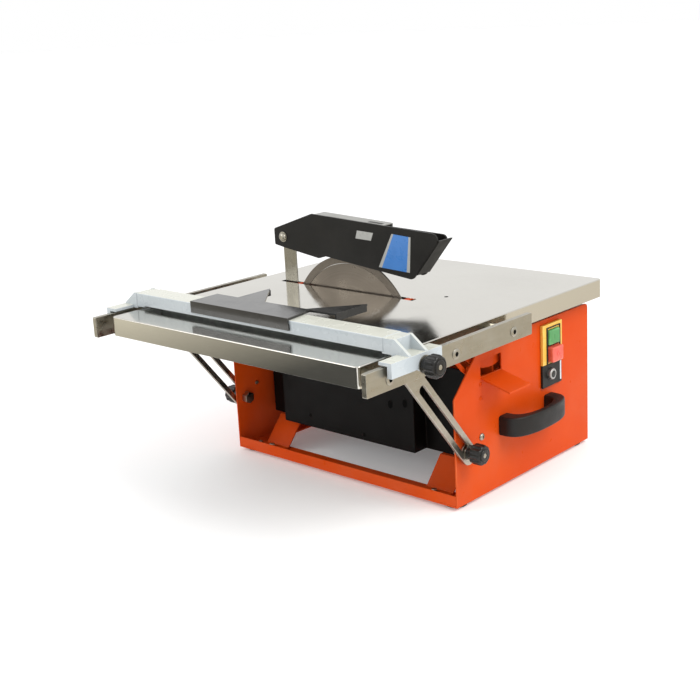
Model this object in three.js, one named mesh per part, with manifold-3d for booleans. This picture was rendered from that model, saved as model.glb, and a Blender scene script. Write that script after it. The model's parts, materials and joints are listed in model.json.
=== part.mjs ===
// Table-top tile cutter with a tilting table, as separate named parts.
// Millimetres. +Z is up, +X is the operator and switch side, -Y is the open side with the fence.
// The origin lies on the floor, under the middle of the whole machine.
import * as THREE from "three";
import Module from "manifold-3d";
import { mergeVertices } from "three/addons/utils/BufferGeometryUtils.js";

const wasm = await Module();
wasm.setup();

// ---- driving dimensions -------------------------------------------------------------------
const GAP = 0.3; // running and bolted clearance between neighbouring parts
const SHEET = 2; // folded sheet steel of the base and table

// Base frame.
const BASE_HALF_X = 182; // outer face of each side panel
const BASE_FRONT_Y = -52;
const BASE_REAR_Y = 228;
const BASE_BOTTOM_Z = 4;
const PANEL_TOP_Z = 186;
const PANEL_CHAMFER_Z = 133; // where the 45 degree cut for the tilted table starts

// Table and its tilt axis, which runs along X through the blade slot.
const TABLE_HALF_X = 198;
const TABLE_FRONT_Y = -224;
const TABLE_REAR_Y = 236;
const TABLE_TOP_Z = 218;
const TABLE_LIP = 23;
const TILT_Y = 26;
const TILT_Z = TABLE_TOP_Z;

// Blade and motor, both on an axis along Y.
const BLADE_X = -38;
const BLADE_Y = 26;
const BLADE_Z = TABLE_TOP_Z - 56;
const BLADE_R = 100;
const BLADE_T = 2.2;
const ARBOR_R = 8;
const MOTOR_R = 47;

// Rails, fence and stays.
const RAIL_OUT_X = 219;
const RAIL_T = 6;
const RAIL_FRONT_Y = -236;
const RAIL_REAR_Y = 48;
const RAIL_TOP_Z = 217;
const RAIL_BOTTOM_Z = 192;
const RAIL_BOLT_Y = [-201, -94, 12];
const RAIL_BOLT_Z = 203;
const FENCE_Y = -165; // middle of the fence beam
const FENCE_KNOB = [-157, 209]; // y, z of the fence clamp knobs
const STAY_IN_X = 185; // inner face of a stay
const STAY_T = 4;
const STAY_PIVOT = [-142.6, 198.2]; // y, z of the stay's pin on the table
const STAY_STUD = [-36.1, 69.3]; // y, z of the clamp stud on the side panel
const STAY_REACH_MIN = 45.7; // pin to stud, table fully tilted
const STAY_LEAD = -0.011; // radians, keeps the stud centred in the slot over the whole tilt
const STUD_R = 2.9;

// ---- materials ------------------------------------------------------------------------------
function paint(name, color, metalness, roughness) {
  const made = new THREE.MeshStandardMaterial({ color, metalness, roughness });
  made.name = name;
  return made;
}
const ORANGE = paint("orange_paint", 0xd9481c, 0.1, 0.5);
const STAINLESS = paint("stainless", 0xc9c6bd, 0.9, 0.3);
const ZINC = paint("zinc_steel", 0xb9b7b0, 0.9, 0.4);
const BLUEGREY = paint("blue_grey_paint", 0xb4c0cf, 0.1, 0.5);
const BLACK_PAINT = paint("black_paint", 0x3a3734, 0.3, 0.5);
const BLACK_PLASTIC = paint("black_plastic", 0x1a1a1b, 0.0, 0.5);
const RUBBER = paint("rubber", 0x151515, 0.0, 0.9);
const YELLOW = paint("yellow_plastic", 0xe6b820, 0.0, 0.5);
const GREEN = paint("green_plastic", 0x1f8a3c, 0.0, 0.4);
const RED = paint("red_plastic", 0xb81d1d, 0.0, 0.4);
const GREY_PAINT = paint("grey_paint", 0xc4c6c4, 0.1, 0.5);
const ALUMINIUM = paint("cast_aluminium", 0x9fa1a3, 0.8, 0.5);
const MOTOR_PAINT = paint("motor_paint", 0x2c3a44, 0.2, 0.5);
const BLADE_STEEL = paint("blade_steel", 0x9a9ea2, 0.9, 0.35);

// ---- solid helpers ----------------------------------------------------------------------------
function solid(geometry) {
  const bare = new THREE.BufferGeometry();
  bare.setAttribute("position", geometry.getAttribute("position"));
  bare.setIndex(geometry.index);
  const welded = mergeVertices(bare, 1e-3);
  return new wasm.Manifold(
    new wasm.Mesh({
      numProp: 3,
      vertProperties: new Float32Array(welded.attributes.position.array),
      triVerts: new Uint32Array(welded.index.array),
    }),
  );
}

function box(x0, x1, y0, y1, z0, z1) {
  const made = new THREE.BoxGeometry(x1 - x0, y1 - y0, z1 - z0);
  made.translate((x0 + x1) / 2, (y0 + y1) / 2, (z0 + z1) / 2);
  return solid(made);
}

// A rod along "x", "y" or "z", from one end to the other of its axis.
function rod(axis, centre, from, to, r, segments = 20) {
  const made = new THREE.CylinderGeometry(r, r, to - from, segments);
  if (axis === "x") made.rotateZ(-Math.PI / 2);
  if (axis === "z") made.rotateX(Math.PI / 2);
  const middle = (from + to) / 2;
  if (axis === "x") made.translate(middle, centre[0], centre[1]);
  if (axis === "y") made.translate(centre[0], middle, centre[1]);
  if (axis === "z") made.translate(centre[0], centre[1], middle);
  return solid(made);
}

// A polygon whose corners are rounded: each point is [u, v] or [u, v, radius].
function outline(points, arcSegments = 4) {
  const path = [];
  const n = points.length;
  for (let i = 0; i < n; i += 1) {
    const here = new THREE.Vector2(points[i][0], points[i][1]);
    const radius = points[i][2] || 0;
    if (!radius) {
      path.push(here);
      continue;
    }
    const before = new THREE.Vector2(...points[(i + n - 1) % n].slice(0, 2)).sub(here).normalize();
    const after = new THREE.Vector2(...points[(i + 1) % n].slice(0, 2)).sub(here).normalize();
    const half = Math.acos(THREE.MathUtils.clamp(before.dot(after), -1, 1)) / 2;
    const centre = before.clone().add(after).normalize().multiplyScalar(radius / Math.sin(half)).add(here);
    const start = before.clone().multiplyScalar(radius / Math.tan(half)).add(here).sub(centre);
    const end = after.clone().multiplyScalar(radius / Math.tan(half)).add(here).sub(centre);
    let sweep = Math.atan2(end.y, end.x) - Math.atan2(start.y, start.x);
    if (sweep > Math.PI) sweep -= 2 * Math.PI;
    if (sweep < -Math.PI) sweep += 2 * Math.PI;
    for (let k = 0; k <= arcSegments; k += 1) {
      const a = Math.atan2(start.y, start.x) + (sweep * k) / arcSegments;
      path.push(new THREE.Vector2(Math.cos(a), Math.sin(a)).multiplyScalar(radius).add(centre));
    }
  }
  return new THREE.Shape(path);
}

function extruded(shape, depth, u, v, w, origin) {
  const made = new THREE.ExtrudeGeometry(shape, { depth, bevelEnabled: false, curveSegments: 10 });
  made.applyMatrix4(new THREE.Matrix4().makeBasis(u, v, w));
  made.translate(...origin);
  return solid(made);
}
const AX = new THREE.Vector3(1, 0, 0);
const AY = new THREE.Vector3(0, 1, 0);
const AZ = new THREE.Vector3(0, 0, 1);

// A flat outline given as [y, z], [x, z] or [x, y] points, thickened along the third axis.
function plateYZ(points, x0, x1, arcs) {
  return extruded(outline(points, arcs), x1 - x0, AY, AZ, AX, [x0, 0, 0]);
}
function plateXZ(points, y0, y1, arcs) {
  return extruded(outline(points, arcs), y1 - y0, AX, AZ, AY.clone().negate(), [0, y1, 0]);
}
function plateXY(points, z0, z1, arcs) {
  return extruded(outline(points, arcs), z1 - z0, AX, AY, AZ, [0, 0, z0]);
}

function join(...parts) {
  return wasm.Manifold.union(parts);
}
function cut(body, ...tools) {
  return tools.length ? body.subtract(join(...tools)) : body;
}

const group = new THREE.Group();
function add(name, made, material) {
  const mesh = made.getMesh();
  const geometry = new THREE.BufferGeometry();
  geometry.setAttribute("position", new THREE.BufferAttribute(new Float32Array(mesh.vertProperties), 3));
  geometry.setIndex(new THREE.BufferAttribute(new Uint32Array(mesh.triVerts), 1));
  const flat = geometry.toNonIndexed();
  flat.computeVertexNormals();
  const node = new THREE.Mesh(flat, material.clone());
  node.name = name;
  group.add(node);
}

// The same part on both sides: side is +1 for the operator side, -1 for the far side.
function span(side, a, b) {
  return side > 0 ? [a, b] : [-b, -a];
}
function sideBox(side, xa, xb, y0, y1, z0, z1) {
  const [x0, x1] = span(side, xa, xb);
  return box(x0, x1, y0, y1, z0, z1);
}
function sideRod(side, y, z, xa, xb, r, segments) {
  const [x0, x1] = span(side, xa, xb);
  return rod("x", [y, z], x0, x1, r, segments);
}
function sidePlate(side, points, xa, xb, arcs) {
  const [x0, x1] = span(side, xa, xb);
  return plateYZ(points, x0, x1, arcs);
}
const SIDES = [[1, "right"], [-1, "left"]];

// ---- base frame -------------------------------------------------------------------------------
const TRUNNION_R = 70; // radius of the arc slot under the table
const TRUNNION_STUD_DEG = [-60, -120];
const HANDLE_Z = 79;
const HANDLE_HALF_H = 12;
const HANDLE_REACH = 32;
const HANDLE_Y = [42, 134];
const SWITCH_Y = [121.5, 159.5];
const SWITCH_Z = [103, 178];
const WINDOW_Y = [-2, 39];
const WINDOW_Z = [147, 167];

function polar(deg, r) {
  const a = THREE.MathUtils.degToRad(deg);
  return [TILT_Y + r * Math.cos(a), TILT_Z + r * Math.sin(a)];
}

function sidePanel(side) {
  const run = PANEL_TOP_Z - PANEL_CHAMFER_Z;
  const face = sidePlate(
    side,
    [
      [BASE_FRONT_Y, BASE_BOTTOM_Z],
      [BASE_REAR_Y, BASE_BOTTOM_Z],
      [BASE_REAR_Y, PANEL_TOP_Z, 6],
      [BASE_FRONT_Y + run, PANEL_TOP_Z, 3],
      [BASE_FRONT_Y, PANEL_CHAMFER_Z, 3],
    ],
    BASE_HALF_X - SHEET,
    BASE_HALF_X,
  );
  const foot = sideBox(side, 156, BASE_HALF_X - 1, BASE_FRONT_Y, BASE_REAR_Y, BASE_BOTTOM_Z, 6);
  const crown = sideBox(side, 168, BASE_HALF_X - 1, 110, BASE_REAR_Y - 8, PANEL_TOP_Z - SHEET, PANEL_TOP_Z);
  const studs = TRUNNION_STUD_DEG.map((deg) => {
    const [y, z] = polar(deg, TRUNNION_R);
    return sideRod(side, y, z, 170, BASE_HALF_X - 1, 4, 16);
  });
  const made = join(face, foot, crown, ...studs);
  const holes = [sideRod(side, STAY_STUD[0], STAY_STUD[1], 170, 190, STUD_R + GAP, 16)];
  HANDLE_Y.forEach((y) => holes.push(sideRod(side, y, HANDLE_Z, 176, 190, 2.5 + GAP, 12)));
  if (side > 0) {
    holes.push(box(170, 190, ...SWITCH_Y, ...SWITCH_Z));
    holes.push(box(170, 190, ...WINDOW_Y, ...WINDOW_Z));
    // The window's metal is folded out as a sloping tongue.
    const tongue = plateXZ(
      [[BASE_HALF_X - 1, WINDOW_Z[0] - 2], [BASE_HALF_X - 1, WINDOW_Z[0]], [222, 136], [222, 134]],
      ...WINDOW_Y,
    );
    return join(cut(made, ...holes), tongue);
  }
  return cut(made, ...holes);
}

SIDES.forEach(([side, word]) => add(`side_panel_${word}`, sidePanel(side), ORANGE));

const INNER_X = BASE_HALF_X - SHEET - GAP;
const FLANGE_X = 156 - GAP;
const frontRail = join(
  box(-INNER_X, INNER_X, BASE_FRONT_Y, BASE_FRONT_Y + SHEET, 6.3, 18),
  box(-FLANGE_X, FLANGE_X, BASE_FRONT_Y, BASE_FRONT_Y + 34, BASE_BOTTOM_Z, 6),
  box(-FLANGE_X, FLANGE_X, BASE_FRONT_Y, BASE_FRONT_Y + SHEET, 5, 8),
);
add("front_rail", frontRail, ORANGE);

const REAR_IN_Y = BASE_REAR_Y - SHEET;
const GLAND = [110, 60]; // x, z of the cord inlet
const VENT_X = [-74, -56, -38, -20, -2];
const rearPanel = cut(
  join(
    box(-INNER_X, INNER_X, REAR_IN_Y, BASE_REAR_Y, 6.3, 180),
    box(-FLANGE_X, FLANGE_X, REAR_IN_Y - 30, BASE_REAR_Y, BASE_BOTTOM_Z, 6),
    box(-FLANGE_X, FLANGE_X, REAR_IN_Y, BASE_REAR_Y, 5, 8),
  ),
  rod("y", GLAND, REAR_IN_Y - 5, BASE_REAR_Y + 5, 7.3, 20),
  ...VENT_X.map((x) => box(x - 4, x + 4, REAR_IN_Y - 5, BASE_REAR_Y + 5, 135, 172)),
);
add("rear_panel", rearPanel, ORANGE);

// Two runners carry the water tank: a foot on the front rail, a ramp, a level shelf and a rear hook.
const RUNNER_X = [116, FLANGE_X];
const SHELF_Z = 40;
function runner(side) {
  const footY = BASE_FRONT_Y + 8;
  const rampY = [BASE_FRONT_Y + 26, BASE_FRONT_Y + 54];
  const hookY = REAR_IN_Y - GAP;
  const points = [
    [footY, 6.3],
    [rampY[0] + 1, 6.3],
    [rampY[1] + 1, SHELF_Z - SHEET],
    [hookY - SHEET, SHELF_Z - SHEET],
    [hookY - SHEET, SHELF_Z - 24],
    [hookY, SHELF_Z - 24],
    [hookY, SHELF_Z],
    [rampY[1], SHELF_Z],
    [rampY[0], 6.3 + SHEET],
    [footY, 6.3 + SHEET],
  ];
  return sidePlate(side, points, ...RUNNER_X);
}
SIDES.forEach(([side, word]) => add(`tank_runner_${word}`, runner(side), ORANGE));

function foot(x, y) {
  return rod("z", [x, y], 0, BASE_BOTTOM_Z - GAP, 13, 20);
}
[[1, 1, "front_right"], [-1, 1, "front_left"], [1, -1, "rear_right"], [-1, -1, "rear_left"]].forEach(
  ([sx, sy, word]) => {
    const y = sy > 0 ? BASE_FRONT_Y + 18 : BASE_REAR_Y - 18;
    add(`foot_${word}`, foot(sx * 166, y), RUBBER);
  },
);

// ---- water tank -------------------------------------------------------------------------------
const TANK_BOTTOM_Z = SHELF_Z + GAP;
const TANK_TOP_Z = 140;
const TANK_REAR_TOP_Z = 100;
const TANK_END_X = 170;
function tank() {
  const wall = 3;
  const front = BASE_FRONT_Y + 36;
  const profile = (y0, low, inset) => [
    [y0 + inset, TANK_BOTTOM_Z + inset],
    [112 - inset, TANK_BOTTOM_Z + inset],
    [112 - inset, inset ? 200 : TANK_REAR_TOP_Z],
    [30, inset ? 200 : TANK_REAR_TOP_Z],
    [14, inset ? 200 : low],
    [y0 + inset, inset ? 200 : low],
  ];
  const outer = join(
    plateYZ(profile(front, TANK_TOP_Z, 0), -129, 92),
    plateYZ(profile(front + 22, TANK_TOP_Z + 8, 0), -TANK_END_X, TANK_END_X),
  );
  const inner = join(
    plateYZ(profile(front, TANK_TOP_Z, wall), -129 + wall, 92 - wall),
    plateYZ(profile(front + 22, TANK_TOP_Z + 8, wall), wall - TANK_END_X, TANK_END_X - wall),
  );
  return cut(outer, inner);
}
add("water_tank", tank(), BLACK_PLASTIC);

// ---- carrying handles -------------------------------------------------------------------------
function handle(side) {
  const out = BASE_HALF_X + GAP;
  const [y0, y1] = [HANDLE_Y[0] - 11, HANDLE_Y[1] + 11];
  const reach = out + HANDLE_REACH;
  const middle = (y0 + y1) / 2;
  const points = [
    [out, y0],
    [out, y0 + 20],
    [out + 4, y0 + 20, 1],
    [reach - 10, y0 + 26, 10],
    [reach - 7, middle],
    [reach - 10, y1 - 26, 10],
    [out + 4, y1 - 20, 1],
    [out, y1 - 20],
    [out, y1],
    [out + 6, y1, 3],
    [reach - 3, y1 - 12, 14],
    [reach, middle],
    [reach - 3, y0 + 12, 14],
    [out + 6, y0, 3],
  ].map(([x, y, r]) => (side > 0 ? [x, y, r] : [-x, y, r]));
  if (side < 0) points.reverse();
  const bar = plateXY(points, HANDLE_Z - HANDLE_HALF_H, HANDLE_Z + HANDLE_HALF_H);
  const pins = HANDLE_Y.map((y) => sideRod(side, y, HANDLE_Z, BASE_HALF_X - 6, out + 4, 2.5, 12));
  return join(bar, ...pins);
}
SIDES.forEach(([side, word]) => add(`carry_handle_${word}`, handle(side), BLACK_PLASTIC));

// ---- switch -----------------------------------------------------------------------------------
const BUTTON_Y = 142;
const GREEN_Z = 163;
const RED_Z = 142;
const RESET = [136, 117];
const FRAME_LOW_Z = 130;
const COVER_IN_X = BASE_HALF_X + GAP;
function buttonHole(z) {
  return box(150, 200, BUTTON_Y - 12, BUTTON_Y + 12, z - 10, z + 10);
}
const switchBox = cut(
  box(138, COVER_IN_X - 2 * GAP, SWITCH_Y[0] + 1, SWITCH_Y[1] - 1, SWITCH_Z[0] + 1, SWITCH_Z[1] - 1),
  box(166, 200, SWITCH_Y[0] + 4, SWITCH_Y[1] - 4, SWITCH_Z[0] + 4, SWITCH_Z[1] - 4),
);
add("switch_box", switchBox, BLACK_PLASTIC);
const switchFrame = cut(
  box(COVER_IN_X, COVER_IN_X + 4, SWITCH_Y[0] - 2, SWITCH_Y[1] + 2, FRAME_LOW_Z, SWITCH_Z[1] + 2),
  buttonHole(GREEN_Z),
  buttonHole(RED_Z),
);
add("switch_frame", switchFrame, YELLOW);
const switchPlate = cut(
  box(COVER_IN_X, COVER_IN_X + 3, SWITCH_Y[0] - 2, SWITCH_Y[1] + 2, SWITCH_Z[0] - 2, FRAME_LOW_Z - GAP),
  rod("x", RESET, 150, 200, 7.5, 20),
);
add("switch_plate", switchPlate, BLACK_PLASTIC);

function button(z, proud) {
  return join(
    box(172, COVER_IN_X + proud, BUTTON_Y - 11.5, BUTTON_Y + 11.5, z - 9.5, z + 9.5),
    box(170, 173, BUTTON_Y - 12.6, BUTTON_Y + 12.6, z - 10.5, z + 10.5),
  );
}
add("button_green", button(GREEN_Z, 7), GREEN);
add("button_red", button(RED_Z, 12), RED);
const reset = join(
  rod("x", RESET, 172, COVER_IN_X + 8, 7, 20),
  rod("x", RESET, 170, 173, 9, 20),
);
add("button_reset", reset, ALUMINIUM);

const gland = join(
  rod("y", GLAND, REAR_IN_Y - 8, BASE_REAR_Y + 2, 7, 20),
  rod("y", GLAND, BASE_REAR_Y + GAP, BASE_REAR_Y + 7, 10, 20),
);
add("cord_gland", gland, BLACK_PLASTIC);

// ---- motor, arbor and blade -------------------------------------------------------------------
const HUB = [BLADE_X, BLADE_Z];
const BRACKET_OUTLINE = [
  [-171, 112],
  [171, 112],
  [171, 172],
  [130, 172],
  [120, 134],
  [40, 134],
  [26, 205, 4],
  [-160, 205, 4],
  [-171, 150],
]; // x, z
const BRACKET_Y = [36, 39];
function motorBracket() {
  const [y0, y1] = BRACKET_Y;
  const plate = plateXZ(
    BRACKET_OUTLINE,
    y0,
    y1,
  );
  const tabs = SIDES.map(([side]) => sideBox(side, 164, INNER_X, y0, y1, 112, 134));
  const ends = SIDES.map(([side]) => sideBox(side, INNER_X - SHEET, INNER_X, y0, y1 + 16, 112, 134));
  return cut(join(plate, ...tabs, ...ends), rod("y", HUB, y0 - 5, y1 + 5, 24, 32));
}
add("motor_bracket", motorBracket(), ORANGE);

const motorStart = BRACKET_Y[1] + GAP;
const motorFlange = cut(
  join(
    rod("y", HUB, motorStart, motorStart + 8, MOTOR_R, 36),
    rod("y", HUB, BRACKET_Y[0] - 1, motorStart + 1, 23.5, 32),
  ),
  rod("y", HUB, 0, 100, 9, 24),
);
add("motor_front_flange", motorFlange, ALUMINIUM);

const bodyStart = motorStart + 8 + GAP;
const BODY_END_Y = 172;
function motorBody() {
  const fins = [];
  for (let i = 0; i < 12; i += 1) {
    const a = (i / 12) * 2 * Math.PI;
    const fin = new THREE.BoxGeometry(5, BODY_END_Y - bodyStart - 8, 2.4);
    fin.translate(MOTOR_R - 3.5, 0, 0);
    fin.rotateY(a);
    fin.translate(BLADE_X, (bodyStart + BODY_END_Y) / 2, BLADE_Z);
    fins.push(solid(fin));
  }
  return join(rod("y", HUB, bodyStart, BODY_END_Y, MOTOR_R - 4, 36), ...fins);
}
const shaftHole = rod("y", HUB, 0, 300, 9, 24);
add("motor_body", cut(motorBody(), shaftHole), MOTOR_PAINT);
const fanCover = cut(
  rod("y", HUB, BODY_END_Y + GAP, 210, MOTOR_R - 1, 36),
  rod("y", HUB, BODY_END_Y - 5, 207, MOTOR_R - 3.5, 36),
);
add("motor_fan_cover", fanCover, BLACK_PLASTIC);
const BOX_X = BLADE_X + MOTOR_R + GAP;
const capacitorBox = box(BOX_X, BOX_X + 28, 66, 150, BLADE_Z - 28, BLADE_Z + 28);
add("capacitor_box", capacitorBox, BLACK_PLASTIC);

const RIM_IN_R = 90;
const CORE_T = 1.6;
function blade() {
  const half = BLADE_T / 2;
  const rim = cut(
    rod("y", HUB, BLADE_Y - half, BLADE_Y + half, BLADE_R, 72),
    rod("y", HUB, BLADE_Y - 2, BLADE_Y + 2, RIM_IN_R, 72),
  );
  const core = rod("y", HUB, BLADE_Y - CORE_T / 2, BLADE_Y + CORE_T / 2, RIM_IN_R + 1, 72);
  const hub = rod("y", HUB, BLADE_Y - half, BLADE_Y + half, 34, 32);
  return cut(join(rim, core, hub), rod("y", HUB, 0, 60, 12.7, 28));
}
add("diamond_blade", blade(), BLADE_STEEL);
const FLANGE_R = 29;
const half = BLADE_T / 2 + GAP;
const innerFlange = cut(
  join(
    rod("y", HUB, BLADE_Y + half, BLADE_Y + half + 5, FLANGE_R, 32),
    rod("y", HUB, BLADE_Y - half + 0.6, BLADE_Y + half + 1, 12.4, 28),
  ),
  rod("y", HUB, 0, 60, ARBOR_R + GAP, 24),
);
add("inner_flange", innerFlange, ZINC);
const outerFlange = cut(
  rod("y", HUB, BLADE_Y - half - 5, BLADE_Y - half, FLANGE_R, 32),
  rod("y", HUB, 0, 60, ARBOR_R + GAP, 24),
);
add("outer_flange", outerFlange, ZINC);
const nutBack = BLADE_Y - half - 5 - GAP;
const arborNut = cut(
  rod("y", HUB, nutBack - 10, nutBack, 13, 6),
  rod("y", HUB, 0, 60, ARBOR_R + GAP, 24),
);
add("arbor_nut", arborNut, ZINC);
const arbor = join(
  rod("y", HUB, nutBack - 14, 200, ARBOR_R, 24),
  rod("y", HUB, 184, 194, 34, 24),
);
add("arbor_shaft", arbor, ZINC);

// ---- riving knife and guard -------------------------------------------------------------------
const KNIFE_X = [-153, -131];
const GUARD_PIVOT = [-140, 280]; // x, z
const KNIFE_CLEAR_R = 104; // the knife is hollowed round the blade
const GUARD_HALF_W = 13;
const GUARD_SHEET = 1.5;
const knife = cut(
  plateXZ(
    [[KNIFE_X[0], 128], [KNIFE_X[1], 128], [KNIFE_X[1], 294, 5], [KNIFE_X[0], 294, 5]],
    BLADE_Y - 1,
    BLADE_Y + 1,
  ),
  rod("y", GUARD_PIVOT, 0, 60, 3 + GAP, 16),
  rod("y", HUB, 0, 60, KNIFE_CLEAR_R, 96),
);
add("riving_knife", knife, STAINLESS);
const knifeBracket = box(KNIFE_X[0] + 1, KNIFE_X[0] + 10, BLADE_Y + 1 + GAP, BRACKET_Y[0] - GAP, 132, 190);
add("knife_bracket", knifeBracket, ZINC);

// x, z corners of the guard's near cheek. The far cheek is lower along its top.
const CHEEK = [
  [-156, 269, 2],
  [-156, 290, 3],
  [-88, 313.5],
  [122, 303.5, 8],
  [75, 246, 8],
  [-65.5, 261],
  [-78, 257.5, 2],
  [-138, 266],
];
const FAR_CHEEK = [
  [-156, 269, 2],
  [-156, 286, 3],
  [-88, 306],
  [115, 299, 6],
  [74, 246.5, 8],
  [-65.5, 261],
  [-78, 257.5, 2],
  [-138, 266],
];
const CHEEK_T = 2.5;
const [GUARD_Y0, GUARD_Y1] = [BLADE_Y - GUARD_HALF_W, BLADE_Y + GUARD_HALF_W];
function guardShell() {
  const near = plateXZ(CHEEK, GUARD_Y0, GUARD_Y0 + CHEEK_T);
  const far = plateXZ(FAR_CHEEK, GUARD_Y1 - CHEEK_T, GUARD_Y1);
  const lip = [[78.2, 252], [114.4, 296.4], [117.4, 296.4], [81.2, 252]];
  const nose = plateXZ(lip, GUARD_Y0 + 1, GUARD_Y1 - 1);
  const hole = rod("y", GUARD_PIVOT, GUARD_Y0 - 5, GUARD_Y1 + 5, 3 + GAP, 16);
  return cut(join(near, far, nose), hole);
}
add("guard_shell", guardShell(), BLACK_PAINT);

// Inner channel over the blade: two webs and a top that shows between the cheeks.
const CHANNEL_END_X = 28;
const topEdge = (x) => 313 - ((x + 88) * 10) / 210;
function guardChannel() {
  const [y0, y1] = [GUARD_Y0 + CHEEK_T + GAP, GUARD_Y1 - CHEEK_T - GAP];
  const web = [
    [-154, 271, 2],
    [-154, 288, 3],
    [-88, 311.5],
    [CHANNEL_END_X, topEdge(CHANNEL_END_X) - 1],
    [CHANNEL_END_X, 282],
    [-66, 274],
  ];
  const top = [
    [-86, topEdge(-86) - GUARD_SHEET],
    [CHANNEL_END_X, topEdge(CHANNEL_END_X) - GUARD_SHEET],
    [CHANNEL_END_X, topEdge(CHANNEL_END_X)],
    [-86, topEdge(-86)],
  ];
  const hole = rod("y", GUARD_PIVOT, GUARD_Y0, GUARD_Y1, 3 + GAP, 16);
  return cut(
    join(
      plateXZ(web, y0, y0 + GUARD_SHEET),
      plateXZ(web, y1 - GUARD_SHEET, y1),
      plateXZ(top, y0, y1),
    ),
    hole,
  );
}
add("guard_channel", guardChannel(), GREY_PAINT);
const guardBolt = join(
  rod("y", GUARD_PIVOT, BLADE_Y - GUARD_HALF_W - 5, BLADE_Y + GUARD_HALF_W + 5, 3, 16),
  rod("y", GUARD_PIVOT, BLADE_Y - GUARD_HALF_W - 5, BLADE_Y - GUARD_HALF_W - GAP, 6, 6),
  rod("y", GUARD_PIVOT, BLADE_Y + GUARD_HALF_W + GAP, BLADE_Y + GUARD_HALF_W + 5, 6, 6),
);
add("guard_bolt", guardBolt, ZINC);

// ---- table ------------------------------------------------------------------------------------
function tableTop() {
  const [y0, y1] = [TABLE_FRONT_Y, TABLE_REAR_Y];
  const slab = plateXY(
    [
      [-TABLE_HALF_X, y0, 5],
      [TABLE_HALF_X, y0, 5],
      [TABLE_HALF_X, y1, 5],
      [-TABLE_HALF_X, y1, 5],
    ],
    TABLE_TOP_Z - TABLE_LIP,
    TABLE_TOP_Z,
    3,
  );
  const hollow = box(
    SHEET - TABLE_HALF_X,
    TABLE_HALF_X - SHEET,
    y0 + SHEET,
    y1 - SHEET,
    TABLE_TOP_Z - TABLE_LIP - 5,
    TABLE_TOP_Z - SHEET,
  );
  const slot = box(-158, 66, TILT_Y - 5, TILT_Y + 5, 200, 230);
  const holes = SIDES.flatMap(([side]) => [
    ...RAIL_BOLT_Y.map((y) => sideRod(side, y, RAIL_BOLT_Z, 190, 205, 3 + GAP, 12)),
    sideRod(side, STAY_PIVOT[0], STAY_PIVOT[1], 190, 205, 2.5 + GAP, 12),
  ]);
  return cut(slab, hollow, slot, ...holes);
}
add("table_top", tableTop(), STAINLESS);

const RAIL_IN_X = RAIL_OUT_X - RAIL_T;
SIDES.forEach(([side, word]) => {
  const rail = sidePlate(
    side,
    [
      [RAIL_FRONT_Y, RAIL_BOTTOM_Z, 1],
      [RAIL_REAR_Y, RAIL_BOTTOM_Z, 1],
      [RAIL_REAR_Y, RAIL_TOP_Z, 1],
      [RAIL_FRONT_Y, RAIL_TOP_Z, 1],
    ],
    RAIL_IN_X,
    RAIL_OUT_X,
    1,
  );
  const holes = RAIL_BOLT_Y.map((y) => sideRod(side, y, RAIL_BOLT_Z, 200, 230, 3 + GAP, 12));
  add(`fence_rail_${word}`, cut(rail, ...holes), ZINC);
});

// A rail bolt: low round head, shank, spacer between lip and rail, and nut inside the lip.
SIDES.forEach(([side, word]) => {
  RAIL_BOLT_Y.forEach((y, i) => {
    const made = join(
      sideRod(side, y, RAIL_BOLT_Z, RAIL_OUT_X + GAP, RAIL_OUT_X + 1.6, 6, 16),
      sideRod(side, y, RAIL_BOLT_Z, 190, RAIL_OUT_X + 1, 3, 12),
      sideRod(side, y, RAIL_BOLT_Z, TABLE_HALF_X + GAP, RAIL_IN_X - GAP, 6, 16),
      sideRod(side, y, RAIL_BOLT_Z, 190, TABLE_HALF_X - SHEET - GAP, 5.5, 6),
    );
    add(`rail_bolt_${word}_${i + 1}`, made, ZINC);
  });
});

// Trunnion plates under the table: an arc slot about the tilt axis rides on the panel's studs.
const TRUNNION_X = [173, 176];
function sector(r0, r1, from, to) {
  const points = [];
  const steps = 12;
  for (let i = 0; i <= steps; i += 1) points.push(polar(from + ((to - from) * i) / steps, r1));
  for (let i = steps; i >= 0; i -= 1) points.push(polar(from + ((to - from) * i) / steps, r0));
  return points;
}
function trunnion(side) {
  const under = TABLE_TOP_Z - SHEET - GAP;
  const arc = sidePlate(side, sector(TRUNNION_R - 9, TRUNNION_R + 9, -173, -50), ...TRUNNION_X);
  const rim = sidePlate(side, sector(24, TRUNNION_R - 8, -178, -70), ...TRUNNION_X);
  const slot = sidePlate(side, sector(TRUNNION_R - 4.6, TRUNNION_R + 4.6, -169, -55.5), 160, 179);
  const above = sideBox(side, 160, 190, -80, 100, under, under + 40);
  const ledge = sideBox(side, 160, TRUNNION_X[1], -22, 8, under - SHEET, under);
  return cut(join(arc, rim, ledge), slot, above);
}
SIDES.forEach(([side, word]) => add(`trunnion_${word}`, trunnion(side), ZINC));

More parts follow.
